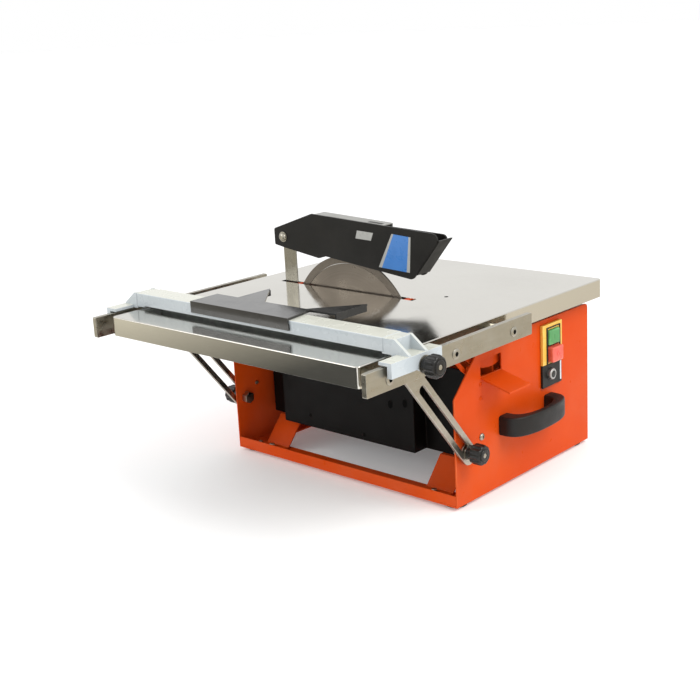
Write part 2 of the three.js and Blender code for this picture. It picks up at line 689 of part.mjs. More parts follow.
// ---- stays and their clamps -------------------------------------------------------------------
const STAY_REACH = Math.hypot(STAY_PIVOT[0] - STAY_STUD[0], STAY_PIVOT[1] - STAY_STUD[1]);
const STAY_ANGLE =
  Math.atan2(STAY_STUD[1] - STAY_PIVOT[1], STAY_STUD[0] - STAY_PIVOT[0]) + STAY_LEAD;
function along(distance, across) {
  const [c, s] = [Math.cos(STAY_ANGLE), Math.sin(STAY_ANGLE)];
  return [STAY_PIVOT[0] + distance * c - across * s, STAY_PIVOT[1] + distance * s + across * c];
}
function bar(side, d0, d1, w, xa, xb, radius) {
  const points = [
    [...along(d0, -w), radius],
    [...along(d1, -w), radius],
    [...along(d1, w), radius],
    [...along(d0, w), radius],
  ];
  return sidePlate(side, points, xa, xb, 6);
}
function stay(side) {
  const [xa, xb] = [STAY_IN_X, STAY_IN_X + STAY_T];
  const body = bar(side, -11, STAY_REACH + 15, 12, xa, xb, 11.5);
  const slot = bar(side, STAY_REACH_MIN - 6, STAY_REACH + 6, 5.2, xa - 5, xb + 5, 5.1);
  const pin = sideRod(side, STAY_PIVOT[0], STAY_PIVOT[1], 180, 200, 2.5 + GAP, 12);
  return cut(body, slot, pin);
}
SIDES.forEach(([side, word]) => {
  add(`stay_${word}`, stay(side), ZINC);
  const [y, z] = STAY_PIVOT;
  const pivot = join(
    sideRod(side, y, z, 183, TABLE_HALF_X + 3, 2.5, 12),
    sideRod(side, y, z, STAY_IN_X - 3, STAY_IN_X - GAP, 5, 12),
    sideRod(side, y, z, STAY_IN_X + STAY_T + GAP, TABLE_HALF_X - SHEET - GAP, 5, 12),
    sideRod(side, y, z, TABLE_HALF_X + GAP, TABLE_HALF_X + 3, 5, 6),
  );
  add(`stay_pin_${word}`, pivot, ZINC);
});

// Clamp stud on the panel: head inside, shank through panel and slot.
SIDES.forEach(([side, word]) => {
  const [y, z] = STAY_STUD;
  const stud = join(
    sideRod(side, y, z, 172, 205.5, STUD_R, 16),
    sideRod(side, y, z, 172, BASE_HALF_X - SHEET - GAP, 8, 6),
    sideRod(side, y, z, BASE_HALF_X + GAP, STAY_IN_X - GAP, 8, 16),
  );
  add(`clamp_stud_${word}`, stud, ZINC);
  add(`clamp_knob_${word}`, knob(side, y, z, STAY_IN_X + STAY_T + GAP, 22, 12, STUD_R), BLACK_PLASTIC);
});

// A fluted knob with a collar, bored blind for its stud where a bore radius is given.
function knob(side, y, z, start, length, r, boreR) {
  const flutes = 10;
  const points = [];
  for (let i = 0; i < flutes * 2; i += 1) {
    const a = (i / (flutes * 2)) * 2 * Math.PI;
    const radius = i % 2 ? r : r - 1.6;
    points.push([y + radius * Math.cos(a), z + radius * Math.sin(a)]);
  }
  const grip = sidePlate(side, points, start + 6, start + length - 1.5);
  const face = sideRod(side, y, z, start + length - 2, start + length, r - 3.2, 20);
  const collar = sideRod(side, y, z, start, start + 7, r - 3.5, 20);
  const body = join(grip, face, collar);
  return boreR ? cut(body, sideRod(side, y, z, start - 1, start + length - 5, boreR + GAP, 16)) : body;
}

// ---- fence ------------------------------------------------------------------------------------
const FENCE_LOW_Z = TABLE_TOP_Z + 4.5;
const FENCE_TOP_Z = TABLE_TOP_Z + 19.5;
const FENCE_HALF_W = 15;
const FENCE_WALL = 3;
const BEAM_END_X = 193;
const CAST_END_X = 208;
const PAD_IN_X = 211;
const CHEEK_X = [RAIL_OUT_X + 3, RAIL_OUT_X + 9];
const CHEEK_Y = [-208, -128];
const PAD_Z = [TABLE_TOP_Z + GAP, TABLE_TOP_Z + 4];
const CHEEK_LOW_Z = 206;
const LUG_R = 8;
function fence() {
  const [y0, y1] = [FENCE_Y - FENCE_HALF_W, FENCE_Y + FENCE_HALF_W];
  const beam = cut(
    box(-BEAM_END_X, BEAM_END_X, y0, y1, FENCE_LOW_Z, FENCE_TOP_Z),
    box(1 - BEAM_END_X, BEAM_END_X - 1, y0 + FENCE_WALL, y1 - FENCE_WALL, 200, FENCE_TOP_Z - FENCE_WALL),
  );
  const ends = SIDES.flatMap(([side]) => {
    const coreZ = [PAD_Z[0] + 2, FENCE_TOP_Z - 0.7];
    const core = sideBox(side, BEAM_END_X - 2, CAST_END_X, y0 + 0.7, y1 - 0.7, ...coreZ);
    const sole = sideBox(side, CAST_END_X - 4, CHEEK_X[1], y0, y1, ...PAD_Z);
    const pad = sideBox(side, PAD_IN_X, CHEEK_X[1], ...CHEEK_Y, ...PAD_Z);
    const cheek = sideBox(side, ...CHEEK_X, ...CHEEK_Y, CHEEK_LOW_Z, PAD_Z[1]);
    const lug = sideRod(side, ...FENCE_KNOB, ...CHEEK_X, LUG_R, 24);
    const ribs = [y0, y1 - 4].map((y) => {
      const points = [
        [CAST_END_X - 4, PAD_Z[0] + 2],
        [CHEEK_X[1] - 1, PAD_Z[0] + 2],
        [CHEEK_X[1] - 1, PAD_Z[1] + 1],
        [CAST_END_X, FENCE_TOP_Z],
        [CAST_END_X - 4, FENCE_TOP_Z],
      ].map(([x, z]) => (side > 0 ? [x, z] : [-x, z]));
      if (side < 0) points.reverse();
      return plateXZ(points, y, y + 4);
    });
    return [core, sole, pad, cheek, lug, ...ribs];
  });
  const bores = SIDES.map(([side]) => sideRod(side, ...FENCE_KNOB, 220.5, 235, 4 + GAP, 16));
  return cut(join(beam, ...ends), ...bores);
}
add("fence", fence(), BLUEGREY);

// A fence clamp knob: its screw passes the cheek and stops short of the rail.
SIDES.forEach(([side, word]) => {
  const screw = sideRod(side, ...FENCE_KNOB, RAIL_OUT_X + 2.8, CHEEK_X[1] + 4, 4, 16);
  const collar = sideRod(side, ...FENCE_KNOB, CHEEK_X[1] + 0.6, CHEEK_X[1] + 4, 7, 16);
  const grip = knob(side, ...FENCE_KNOB, CHEEK_X[1] + 1, 20, 12.5, 0);
  add(`fence_knob_${word}`, join(screw, collar, grip), BLACK_PLASTIC);
});

// Mitre stop: a plate on the fence, folded down in front, with two 45 degree horns behind.
function mitreStop() {
  const top = FENCE_TOP_Z + GAP;
  const front = FENCE_Y - FENCE_HALF_W - GAP - 2;
  const rear = FENCE_Y + FENCE_HALF_W + 10;
  const tip = rear + 52;
  const thick = 2.5;
  const plate = plateXY(
    [
      [-100, front],
      [92, front],
      [92, tip],
      [47, rear],
      [-19, rear],
      [-64, tip],
      [-64, rear],
      [-100, rear],
    ],
    top,
    top + thick,
  );
  const skirt = box(-100, 61, front, front + 2, FENCE_LOW_Z + 4, top + 1);
  const horns = [[-64, -62], [90, 92]].map(([x0, x1]) => box(x0, x1, rear + 1, tip - 1, top - 6, top + 1));
  const slope = [[61, front - 5], [100, front - 5], [100, rear + 2], [55, rear - 2]];
  const corner = plateXY(slope, top - 5, top + 8);
  return cut(join(plate, skirt, ...horns), corner);
}
add("mitre_stop", mitreStop(), BLACK_PAINT);

export default group;
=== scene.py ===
import json
import math

import bmesh
import bpy
from mathutils import Matrix, Vector


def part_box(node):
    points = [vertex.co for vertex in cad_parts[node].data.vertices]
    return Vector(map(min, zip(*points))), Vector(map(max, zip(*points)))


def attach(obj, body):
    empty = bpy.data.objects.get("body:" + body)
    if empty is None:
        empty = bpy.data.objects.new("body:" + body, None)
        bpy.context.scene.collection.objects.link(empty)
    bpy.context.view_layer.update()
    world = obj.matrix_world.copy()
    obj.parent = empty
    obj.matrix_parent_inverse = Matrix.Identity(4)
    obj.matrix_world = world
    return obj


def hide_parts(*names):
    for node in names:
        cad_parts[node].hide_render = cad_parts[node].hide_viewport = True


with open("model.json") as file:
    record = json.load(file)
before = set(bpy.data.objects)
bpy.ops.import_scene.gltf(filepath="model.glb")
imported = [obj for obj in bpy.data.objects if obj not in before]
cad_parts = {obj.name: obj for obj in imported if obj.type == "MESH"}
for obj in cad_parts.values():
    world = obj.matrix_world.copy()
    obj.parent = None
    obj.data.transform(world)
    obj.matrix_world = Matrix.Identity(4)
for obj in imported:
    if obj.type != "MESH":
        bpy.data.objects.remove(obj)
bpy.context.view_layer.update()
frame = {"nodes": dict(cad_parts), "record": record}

# Looks of a tile cutter with a tilting table. Metres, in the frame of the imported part: +Z up,
# +X the operator and switch side, -Y the open side with the fence.
MM = 0.001
BODIES = frame["record"]["behaviour"]["bodies"]
BODY_OF = {node: body for body, nodes in BODIES.items() for node in nodes}
SIDES = (("right", 1), ("left", -1))


# ---- shader graphs ------------------------------------------------------------------------------
class Look:
    """A Principled material and short calls for the nodes that vary it over a surface."""

    def __init__(self, name, colour, roughness, metallic=0.0, **sockets):
        self.material = bpy.data.materials.new(name)
        self.material.use_nodes = True
        self.tree = self.material.node_tree
        self.shader = self.tree.nodes["Principled BSDF"]
        self.colour = (*colour, 1)
        self.roughness = roughness
        self.height = None
        self.shader.inputs["Base Color"].default_value = self.colour
        self.shader.inputs["Roughness"].default_value = roughness
        self.shader.inputs["Metallic"].default_value = metallic
        for socket, value in sockets.items():
            self.shader.inputs[socket.replace("_", " ")].default_value = value
        self.material.diffuse_color = self.colour
        self.place = self.add("ShaderNodeTexCoord").outputs["Object"]

    def add(self, kind, **settings):
        node = self.tree.nodes.new(kind)
        for key, value in settings.items():
            setattr(node, key, value)
        return node

    def feed(self, node, **values):
        for key, value in values.items():
            socket = node.inputs[int(key[1:])] if key[1:].isdigit() else node.inputs[key.replace("_", " ")]
            if isinstance(value, bpy.types.NodeSocket):
                self.tree.links.new(value, socket)
            else:
                socket.default_value = value
        return node

    def stretched(self, scale):
        mapping = self.add("ShaderNodeMapping")
        self.feed(mapping, Vector=self.place, Scale=scale)
        return mapping.outputs["Vector"]

    def noise(self, scale, detail=3.0, stretch=(1, 1, 1), rough=0.55):
        node = self.add("ShaderNodeTexNoise")
        self.feed(node, Vector=self.stretched(stretch), Scale=scale, Detail=detail, Roughness=rough)
        return node.outputs["Fac"]

    def spread(self, value, low, high, out_low=0.0, out_high=1.0):
        node = self.add("ShaderNodeMapRange")
        self.feed(node, Value=value, From_Min=low, From_Max=high, To_Min=out_low, To_Max=out_high)
        return node.outputs["Result"]

    def maths(self, operation, a, b):
        node = self.add("ShaderNodeMath", operation=operation)
        self.feed(node, _0=a, _1=b)
        return node.outputs["Value"]

    def tint(self, share, colour):
        """Moves the base colour towards another colour by a varying share."""
        node = self.add("ShaderNodeMix", data_type="RGBA")
        self.feed(node, _0=share, _6=self.colour, _7=(*colour, 1))
        self.colour = node.outputs[2]
        self.tree.links.new(self.colour, self.shader.inputs["Base Color"])

    def roughen(self, value, low, high, out_low, out_high):
        made = self.spread(value, low, high, out_low, out_high)
        self.tree.links.new(made, self.shader.inputs["Roughness"])

    def bump(self, value, depth, strength=1.0):
        node = self.add("ShaderNodeBump")
        self.feed(node, Height=value, Distance=depth, Strength=strength)
        if self.height is not None:
            self.tree.links.new(self.height, node.inputs["Normal"])
        self.height = node.outputs["Normal"]
        self.tree.links.new(self.height, self.shader.inputs["Normal"])

    def worn_edges(self, colour, amount, scale=70.0):
        """Rubbed edges, on the faces that the mesh code marks as bevels, broken up by noise."""
        mark = self.add("ShaderNodeAttribute", attribute_name="edge").outputs["Fac"]
        patches = self.spread(self.noise(scale, 4.0), 0.36, 0.7)
        self.tint(self.maths("MULTIPLY", self.maths("MULTIPLY", mark, patches), amount), colour)

    def dusty(self, colour, amount, scale=14.0):
        self.tint(self.maths("MULTIPLY", self.spread(self.noise(scale, 6.0), 0.45, 0.75), amount), colour)


def orange_coat():
    look = Look("orange_coat", (0.58, 0.057, 0.0035), 0.36, Specular_IOR_Level=0.08)
    look.tint(look.spread(look.noise(9.0, 4.0), 0.35, 0.7, 0.0, 0.5), (0.66, 0.085, 0.008))
    look.dusty((0.55, 0.11, 0.045), 0.35)
    look.worn_edges((0.86, 0.25, 0.1), 0.45)
    look.roughen(look.noise(60.0), 0.3, 0.7, 0.27, 0.4)
    look.bump(look.noise(700.0, 2.0), 0.00012, 0.5)
    look.bump(look.noise(16.0, 2.0), 0.0006, 0.25)
    return look.material


def bright_stainless():
    look = Look("bright_stainless", (0.66, 0.64, 0.585), 0.13, 1.0, Anisotropic=0.35)
    lines = look.noise(60.0, 3.0, (1.0, 40.0, 40.0))
    look.tint(look.spread(lines, 0.3, 0.7, 0.0, 0.22), (0.46, 0.44, 0.4))
    look.dusty((0.52, 0.5, 0.45), 0.35, 7.0)
    look.worn_edges((0.6, 0.58, 0.53), 0.5)
    look.roughen(look.noise(24.0, 5.0), 0.3, 0.72, 0.07, 0.17)
    look.bump(lines, 0.00003, 0.35)
    look.bump(look.noise(5.0, 1.0), 0.0012, 0.12)
    return look.material


def satin_stainless():
    look = Look("satin_stainless", (0.27, 0.255, 0.215), 0.26, 1.0, Anisotropic=0.4)
    lines = look.noise(70.0, 3.0, (14.0, 14.0, 1.0))
    look.tint(look.spread(lines, 0.3, 0.7, 0.0, 0.25), (0.19, 0.18, 0.155))
    look.worn_edges((0.86, 0.84, 0.8), 0.6)
    look.roughen(look.noise(40.0, 4.0), 0.3, 0.7, 0.17, 0.34)
    look.bump(lines, 0.00003, 0.4)
    return look.material


def zinc_plate():
    look = Look("zinc_plate", (0.4, 0.375, 0.315), 0.3, 1.0)
    lines = look.noise(30.0, 3.0, (6.0, 1.0, 6.0))
    look.tint(look.spread(look.noise(45.0, 4.0), 0.35, 0.7, 0.0, 0.4), (0.31, 0.285, 0.225))
    look.tint(look.spread(lines, 0.4, 0.7, 0.0, 0.2), (0.52, 0.5, 0.46))
    look.worn_edges((0.72, 0.7, 0.63), 0.6)
    look.roughen(look.noise(80.0, 4.0), 0.3, 0.7, 0.22, 0.42)
    look.bump(look.noise(500.0, 2.0), 0.00005, 0.5)
    return look.material


def blue_grey_enamel():
    look = Look("blue_grey_enamel", (0.46, 0.51, 0.54), 0.3, Coat_Weight=0.2, Coat_Roughness=0.12)
    look.tint(look.spread(look.noise(9.0, 3.0), 0.35, 0.7, 0.0, 0.5), (0.52, 0.555, 0.57))
    # Painted light: faces turned upwards are tinted lighter and warmer, standing in for light falling from
    # above.
    parts = look.add("ShaderNodeSeparateXYZ")
    look.feed(parts, Vector=look.add("ShaderNodeTexCoord").outputs["Normal"])
    look.tint(look.spread(parts.outputs["Z"], 0.6, 0.95), (0.6, 0.605, 0.53))
    look.worn_edges((0.66, 0.7, 0.72), 0.25)
    look.roughen(look.noise(50.0), 0.3, 0.7, 0.2, 0.32)
    look.bump(look.noise(380.0, 2.0), 0.00004, 0.3)
    return look.material


def black_enamel():
    look = Look("black_enamel", (0.011, 0.0102, 0.009), 0.38, Specular_IOR_Level=0.18)
    look.tint(look.spread(look.noise(18.0, 5.0), 0.4, 0.75, 0.0, 0.5), (0.026, 0.0245, 0.0215))
    look.worn_edges((0.22, 0.21, 0.19), 0.6)
    look.roughen(look.noise(40.0, 5.0), 0.3, 0.7, 0.3, 0.5)
    look.bump(look.noise(800.0, 2.0), 0.0001, 0.4)
    return look.material


def stop_enamel():
    gloss = {"Coat_Weight": 0.35, "Coat_Roughness": 0.08, "Specular_IOR_Level": 0.35}
    look = Look("stop_enamel", (0.018, 0.017, 0.016), 0.16, **gloss)
    look.tint(look.spread(look.noise(25.0, 5.0), 0.4, 0.75, 0.0, 0.5), (0.045, 0.043, 0.04))
    look.worn_edges((0.28, 0.27, 0.25), 0.6)
    look.roughen(look.noise(60.0, 5.0), 0.3, 0.7, 0.12, 0.24)
    look.bump(look.noise(700.0, 2.0), 0.0001, 0.4)
    return look.material


def moulded_black(name, colour, low, high, grain, depth, specular=0.5):
    look = Look(name, colour, low, Specular_IOR_Level=specular)
    look.tint(look.spread(look.noise(22.0, 4.0), 0.4, 0.75, 0.0, 0.5), tuple(2.1 * c for c in colour))
    look.worn_edges(tuple(3.6 * c for c in colour), 0.6)
    look.roughen(look.noise(55.0, 4.0), 0.3, 0.7, low, high)
    look.bump(look.noise(grain, 3.0), depth, 0.5)
    return look.material


def coloured_plastic(name, colour, faded):
    look = Look(name, colour, 0.3, Coat_Weight=0.2, Coat_Roughness=0.2, Subsurface_Weight=0.05)
    look.tint(look.spread(look.noise(80.0, 3.0), 0.35, 0.7, 0.0, 0.5), faded)
    look.worn_edges(tuple(min(1.0, 1.5 * c + 0.05) for c in faded), 0.5)
    look.roughen(look.noise(120.0), 0.3, 0.7, 0.24, 0.42)
    look.bump(look.noise(900.0, 2.0), 0.00006, 0.4)
    return look.material


def grey_enamel():
    look = Look("grey_enamel", (0.28, 0.278, 0.26), 0.4)
    look.tint(look.spread(look.noise(20.0, 4.0), 0.35, 0.7, 0.0, 0.5), (0.24, 0.238, 0.222))
    look.worn_edges((0.78, 0.77, 0.73), 0.6)
    look.roughen(look.noise(50.0), 0.3, 0.7, 0.34, 0.5)
    look.bump(look.noise(500.0, 2.0), 0.0001, 0.4)
    return look.material


def cast_alloy():
    look = Look("cast_alloy", (0.5, 0.5, 0.49), 0.45, 1.0)
    look.tint(look.spread(look.noise(60.0, 5.0), 0.35, 0.7, 0.0, 0.5), (0.36, 0.36, 0.35))
    look.worn_edges((0.8, 0.8, 0.78), 0.6)
    look.roughen(look.noise(90.0, 4.0), 0.3, 0.7, 0.36, 0.6)
    look.bump(look.noise(900.0, 4.0), 0.00025, 0.6)
    return look.material


def motor_enamel():
    look = Look("motor_enamel", (0.024, 0.04, 0.055), 0.38)
    look.dusty((0.12, 0.115, 0.1), 0.5, 20.0)
    look.worn_edges((0.22, 0.25, 0.27), 0.6)
    look.roughen(look.noise(60.0), 0.3, 0.7, 0.32, 0.5)
    look.bump(look.noise(600.0, 2.0), 0.00012, 0.4)
    return look.material


def ground_steel(name, colour, low, high, centre):
    """Blade steel with grinding lines in circles about the blade's axis."""
    look = Look(name, colour, low, 1.0)
    moved = look.add("ShaderNodeMapping")
    look.feed(moved, Vector=look.place, Location=(-centre.x, 0.0, -centre.z))
    flat = look.add("ShaderNodeVectorMath", operation="MULTIPLY")
    look.feed(flat, _0=moved.outputs["Vector"], _1=(1.0, 0.0, 1.0))
    radius = look.add("ShaderNodeVectorMath", operation="LENGTH")
    look.feed(radius, _0=flat.outputs["Vector"])
    rings = look.add("ShaderNodeTexNoise", noise_dimensions="1D")
    look.feed(rings, W=radius.outputs["Value"], Scale=900.0, Detail=4.0)
    look.tint(look.spread(rings.outputs["Fac"], 0.35, 0.65, 0.0, 0.4), tuple(0.62 * c for c in colour))
    look.dusty(tuple(0.7 * c for c in colour), 0.45, 18.0)
    look.worn_edges((0.5, 0.47, 0.43), 0.5)
    look.roughen(look.noise(35.0, 4.0), 0.3, 0.7, low, high)
    look.bump(rings.outputs["Fac"], 0.00004, 0.6)
    return look.material


def sintered_rim():
    look = Look("sintered_rim", (0.15, 0.13, 0.108), 0.36, 1.0)
    look.tint(look.spread(look.noise(900.0, 3.0), 0.5, 0.65, 0.0, 0.5), (0.105, 0.09, 0.075))
    look.roughen(look.noise(500.0), 0.3, 0.7, 0.32, 0.5)
    look.bump(look.noise(1400.0, 3.0), 0.0002, 0.8)
    return look.material


def printed(name, colour, roughness=0.3):
    look = Look(name, colour, roughness, Coat_Weight=0.3, Coat_Roughness=0.1)
    look.tint(look.spread(look.noise(70.0, 4.0), 0.4, 0.7, 0.0, 0.3), tuple(0.75 * c for c in colour))
    look.roughen(look.noise(90.0), 0.3, 0.7, roughness - 0.06, roughness + 0.1)
    look.bump(look.noise(500.0, 2.0), 0.00003, 0.3)
    return look.material


BLADE_LOW, BLADE_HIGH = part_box("diamond_blade")
HUB = (BLADE_LOW + BLADE_HIGH) / 2
ORANGE = orange_coat()
BRIGHT = bright_stainless()
SATIN = satin_stainless()
ZINC = zinc_plate()
BLUE_GREY = blue_grey_enamel()
BLACK = black_enamel()
STOP_BLACK = stop_enamel()
# Black plastic for the tank, made darker than the plastic itself: partly painted shade for its place under
# the table.
TANK_BLACK_AND_SHADE = moulded_black("tank_black_and_shade", (0.0034, 0.003, 0.0026), 0.36, 0.5, 300.0, 0.0002, 0.1)
# Painted shade: a near-black, rough finish for discs that stand in for holes, vents and sockets the mesh
# does not sink.
HOLE_SHADE = moulded_black("painted_hole_shade", (0.0012, 0.0012, 0.0012), 0.8, 0.95, 300.0, 0.0001, 0.1)
GRIP_BLACK = moulded_black("grip_black", (0.0075, 0.007, 0.0062), 0.38, 0.55, 1100.0, 0.0002, 0.3)
KNOB_BLACK = moulded_black("knob_black", (0.0095, 0.0088, 0.008), 0.22, 0.38, 900.0, 0.0001, 0.35)
RUBBER = moulded_black("soft_rubber", (0.012, 0.012, 0.012), 0.7, 0.9, 700.0, 0.0003)
YELLOW = coloured_plastic("yellow_plastic_fine", (0.78, 0.44, 0.055), (0.82, 0.52, 0.11))
GREEN = coloured_plastic("green_plastic_fine", (0.045, 0.25, 0.065), (0.11, 0.33, 0.12))
RED = coloured_plastic("red_plastic_fine", (0.68, 0.075, 0.05), (0.76, 0.16, 0.1))
GREY = grey_enamel()
ALLOY = cast_alloy()
MOTOR = motor_enamel()
BLADE = ground_steel("ground_blade", (0.165, 0.142, 0.118), 0.24, 0.38, HUB)
RIM = sintered_rim()
LABEL_BLUE = printed("label_blue", (0.045, 0.2, 0.56))
LABEL_PALE = printed("label_pale", (0.62, 0.66, 0.68))
LABEL_GREY = printed("label_grey", (0.4, 0.4, 0.38))

FINISH_OF_SLOT = {
    "orange_paint": ORANGE,
    "stainless": BRIGHT,
    "zinc_steel": ZINC,
    "blue_grey_paint": BLUE_GREY,
    "black_paint": BLACK,
    "black_plastic": GRIP_BLACK,
    "rubber": RUBBER,
    "yellow_plastic": YELLOW,
    "green_plastic": GREEN,
    "red_plastic": RED,
    "grey_paint": GREY,
    "cast_aluminium": ALLOY,
    "motor_paint": MOTOR,
    "blade_steel": BLADE,
}


# ---- mesh tools ---------------------------------------------------------------------------------
def settle(name, bm, body, finishes, replaces=(), sharp_deg=38.0, weighted=True):
    """Makes a named piece from a bmesh, on its body, in its finish."""
    bmesh.ops.recalc_face_normals(bm, faces=bm.faces)
    mesh = bpy.data.meshes.new(name)
    bm.to_mesh(mesh)
    bm.free()
    mesh.shade_smooth()
    mesh.set_sharp_from_angle(angle=math.radians(sharp_deg))
    for finish in finishes if isinstance(finishes, (list, tuple)) else [finishes]:
        mesh.materials.append(finish)
    piece = bpy.data.objects.new(name, mesh)
    bpy.context.scene.collection.objects.link(piece)
    if weighted:
        modifier = piece.modifiers.new("weighted", "WEIGHTED_NORMAL")
        modifier.keep_sharp = True
        modifier.weight = 80
    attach(piece, body)
    if replaces:
        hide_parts(*replaces)
    return piece


def sharp_edges(bm, limit_deg=30.0):
    limit = math.radians(limit_deg)
    return [e for e in bm.edges if len(e.link_faces) == 2 and e.calc_face_angle(0.0) > limit]


def round_off(bm, width, segments=2, chosen=None, limit_deg=30.0):
    """Rounds the sharp edges that chosen picks, and marks the new faces for worn paint."""
    mark = bm.faces.layers.float.get("edge") or bm.faces.layers.float.new("edge")
    edges = [e for e in sharp_edges(bm, limit_deg) if chosen is None or chosen(e)]
    if not edges:
        return
    made = bmesh.ops.bevel(
        bm,
        geom=edges,
        offset=width,
        offset_type="OFFSET",
        segments=segments,
        profile=0.5,
        affect="EDGES",
        clamp_overlap=True,
    )
    for face in made["faces"]:
        face[mark] = 1.0


def cad_shape(node):
    """The CAD node's own surface, welded, with its flat faces whole again."""
    bm = bmesh.new()
    bm.from_mesh(frame["nodes"][node].data)
    bmesh.ops.remove_doubles(bm, verts=bm.verts, dist=0.02 * MM)
    bmesh.ops.dissolve_limit(bm, angle_limit=math.radians(0.6), verts=bm.verts, edges=bm.edges)
    for face in bm.faces:
        face.material_index = 0
    return bm


def refined(node, finish, width=0.5, segments=2, first=None, extra=None, sharp_deg=38.0):
    """A CAD node with rounded edges. first is (chosen, width, segments) for edges with a larger
    radius, and extra adds detail to the bmesh before it is settled."""
    bm = cad_shape(node)
    if first:
        round_off(bm, first[1] * MM, first[2], first[0])
    round_off(bm, width * MM, segments, None, 32.0)
    if extra:
        extra(bm)
    return settle(f"{node}_fine", bm, BODY_OF[node], finish, [node], sharp_deg)


def loft(bm, rings, capped=True, closed=False, index=0):
    """Quads between neighbouring rings of points, with end caps."""
    rows = [[bm.verts.new(p) for p in ring] for ring in rings]
    count = len(rings[0])
    pairs = list(zip(rows, rows[1:] + rows[:1])) if closed else list(zip(rows, rows[1:]))
    for a, b in pairs:
        for i in range(count):
            j = (i + 1) % count
            bm.faces.new((a[i], a[j], b[j], b[i])).material_index = index
    if capped and not closed:
        bm.faces.new(list(reversed(rows[0]))).material_index = index
        bm.faces.new(rows[-1]).material_index = index


def axis_frame(axis, sign=1):
    """Two cross directions and the direction of travel for an axis."""
    if axis == "x":
        return Vector((0, 1, 0)), Vector((0, 0, 1)), Vector((sign, 0, 0))
    if axis == "y":
        return Vector((1, 0, 0)), Vector((0, 0, 1)), Vector((0, sign, 0))
    return Vector((1, 0, 0)), Vector((0, 1, 0)), Vector((0, 0, sign))


def turned(bm, axis, origin, profile, sides=48, sign=1, shape=None, index=0):
    """A turned solid: profile points are (distance along the axis, radius), in millimetres.
    shape(angle, distance) scales the radius, for flutes and flats."""
    u, v, w = axis_frame(axis, sign)
    rings = []
    for t, r in profile:
        ring = []
        for k in range(sides):
            a = 2 * math.pi * k / sides
            r2 = max(r, 0.01) * (shape(a, t) if shape else 1.0) * MM
            ring.append(origin + w * (t * MM) + u * (r2 * math.cos(a)) + v * (r2 * math.sin(a)))
        rings.append(ring)
    loft(bm, rings, index=index)


def hexagon(a, _):
    """Radius factor of a hexagon with unit flats, and softened corners."""
    turn = (a % (math.pi / 3)) - math.pi / 6
    return min(1.0 / math.cos(turn), 1.12)


def block(bm, low, high, radius=0.0, segments=3, index=0, chosen=None):
    """A box between two corners, with rounded edges."""
    part = bmesh.new()
    bmesh.ops.create_cube(part, size=1.0)
    size = Vector(high) - Vector(low)
    for vert in part.verts:
        vert.co = Vector(low) + Vector((vert.co[i] + 0.5) * size[i] for i in range(3))
    part.faces.layers.float.new("edge")
    if radius:
        round_off(part, radius, segments, chosen)
    for face in part.faces:
        face.material_index = index
    merge(bm, part)


def merge(bm, part):
    """Adds one bmesh to another."""
    bm.faces.layers.float.get("edge") or bm.faces.layers.float.new("edge")
    holder = bpy.data.meshes.new("holder")
    part.to_mesh(holder)
    part.free()
    bm.from_mesh(holder)
    bpy.data.meshes.remove(holder)


def new_bm():
    bm = bmesh.new()
    bm.faces.layers.float.new("edge")
    return bm


def hex_bolt(bm, axis, origin, sign, across=8.0, height=4.0, washer=6.5):
    """Washer, hexagon head with a chamfered crown. The origin lies on the surface."""
    turned(bm, axis, origin, [(0, washer), (0, washer), (0.9, washer), (1.1, washer - 0.3)], 36, sign)
    half = across / 2
    crown = [(1.1, half), (1.1 + height * 0.75, half), (1.1 + height, half * 0.84)]
    turned(bm, axis, origin, crown, 48, sign, hexagon)


def dome_head(bm, axis, origin, sign, radius, height, drive=0.45):
    """A round head with a sunk socket."""
    steps = 7
    dome = [(0.0, radius)]
    for i in range(steps + 1):
        a = 0.5 * math.pi * i / steps * 0.72
        dome.append((height * math.sin(a) / math.sin(0.36 * math.pi), radius * math.cos(a)))
    top = dome[-1][0]
    dome += [(top, radius * drive), (top - height * 0.55, radius * drive * 0.9)]
    turned(bm, axis, origin, dome, 36, sign)


# ---- base panels --------------------------------------------------------------------------------
PANEL_LOW, PANEL_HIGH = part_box("side_panel_right")
PANEL_FACE_X = -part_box("side_panel_left")[0].x
TABLE_LOW, TABLE_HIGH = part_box("table_top")
TABLE_Z = TABLE_HIGH.z


def panel_outline_edge(edge):
    """Picks the panel's outer edges, which are rolled more than the cut-outs."""
    a, b = (v.co for v in edge.verts)
    low, high = PANEL_LOW, PANEL_HIGH
    on_rim = all(
        abs(p.y - low.y) < MM or abs(p.y - high.y) < MM or abs(p.z - low.z) < MM
        or abs(p.z - high.z) < MM or p.z - p.y > (high.z - low.y) * 0.76
        for p in (a, b)
    )
    return on_rim and all(abs(abs(p.x) - PANEL_FACE_X) < 0.5 * MM for p in (a, b))


for word, side in SIDES:
    refined(f"side_panel_{word}", ORANGE, 0.35, 2, (panel_outline_edge, 1.1, 3))
    refined(f"tank_runner_{word}", ORANGE, 0.4)
refined("front_rail", ORANGE, 0.5)
refined("rear_panel", ORANGE, 0.4)
refined("motor_bracket", ORANGE, 0.5)
refined("knife_bracket", ZINC, 0.6)
for end in ("front", "rear"):
    for word, side in SIDES:
        node = f"foot_{end}_{word}"
        low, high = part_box(node)
        middle = (low + high) / 2
        r = (high.x - low.x) / 2 / MM
        tall = (high.z - low.z) / MM
        bm = new_bm()
        sole = [(0, r - 5), (0, r - 1.2), (0.5, r - 0.3), (1.4, r)]
        pad = sole + [(1.9, r - 0.5), (2.4, r - 0.1), (tall, r - 0.8)]
        turned(bm, "z", Vector((middle.x, middle.y, low.z)), pad, 56)
        settle(f"{node}_fine", bm, "base", RUBBER, [node])


